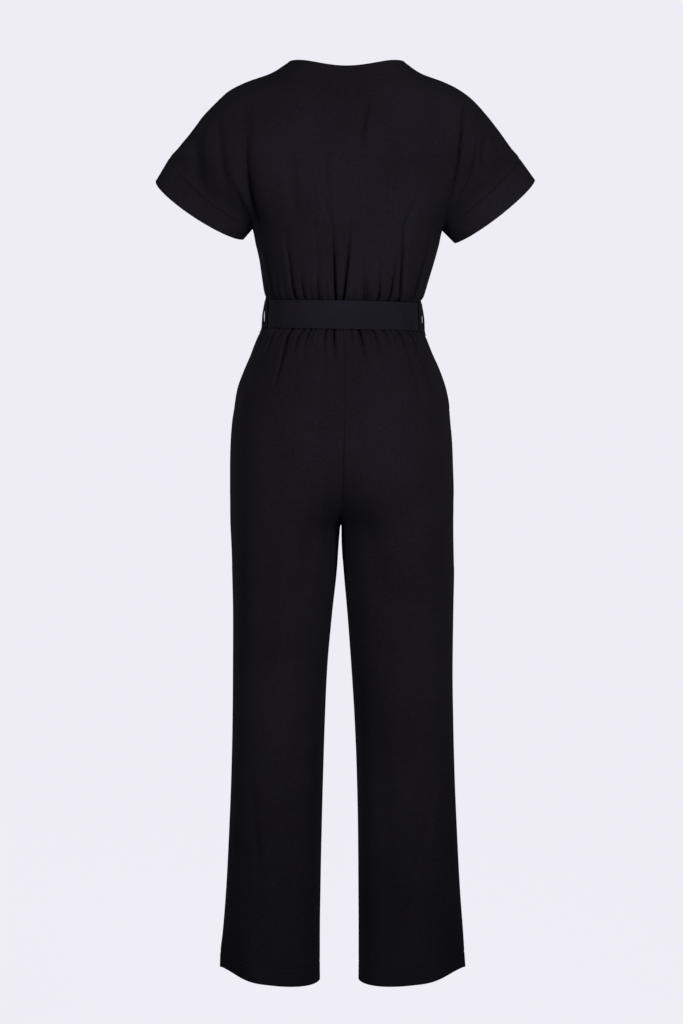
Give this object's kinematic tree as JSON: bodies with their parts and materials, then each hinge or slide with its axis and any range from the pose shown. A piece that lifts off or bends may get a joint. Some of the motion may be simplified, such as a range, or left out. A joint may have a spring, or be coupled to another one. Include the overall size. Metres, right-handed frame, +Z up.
{
  "type": "jumpsuit",
  "caption": "Short-sleeved, wide straight-legged jumpsuit, filled out as if worn, with gathered waist, tied cloth belt, turned cuffs and slant pockets.",
  "frame": {"origin": "between the shoulders, level with the highest points of the shoulder seams", "axes": "+Z up, +X to the wearer's left, the front faces -Y"},
  "size_m": [0.5827, 0.2502, 1.44],
  "materials": {
    "crepe": "matt black crepe",
    "belt_crepe": "matt black crepe, folded double and pressed"
  },
  "bodies": {
    "root": {"bodice_back": "crepe", "bodice_front_left": "crepe", "bodice_front_right": "crepe", "sleeve_cuff_left": "crepe", "sleeve_cuff_right": "crepe", "waist_casing": "crepe", "trouser_back_left": "crepe", "trouser_back_right": "crepe", "trouser_front_left": "crepe", "trouser_front_right": "crepe", "pocket_facing_left": "crepe", "pocket_facing_right": "crepe", "belt_band": "belt_crepe", "belt_knot": "belt_crepe", "belt_end_left": "belt_crepe", "belt_end_right": "belt_crepe", "belt_loop_left": "belt_crepe", "belt_loop_right": "belt_crepe"}
  },
  "joints": []
}
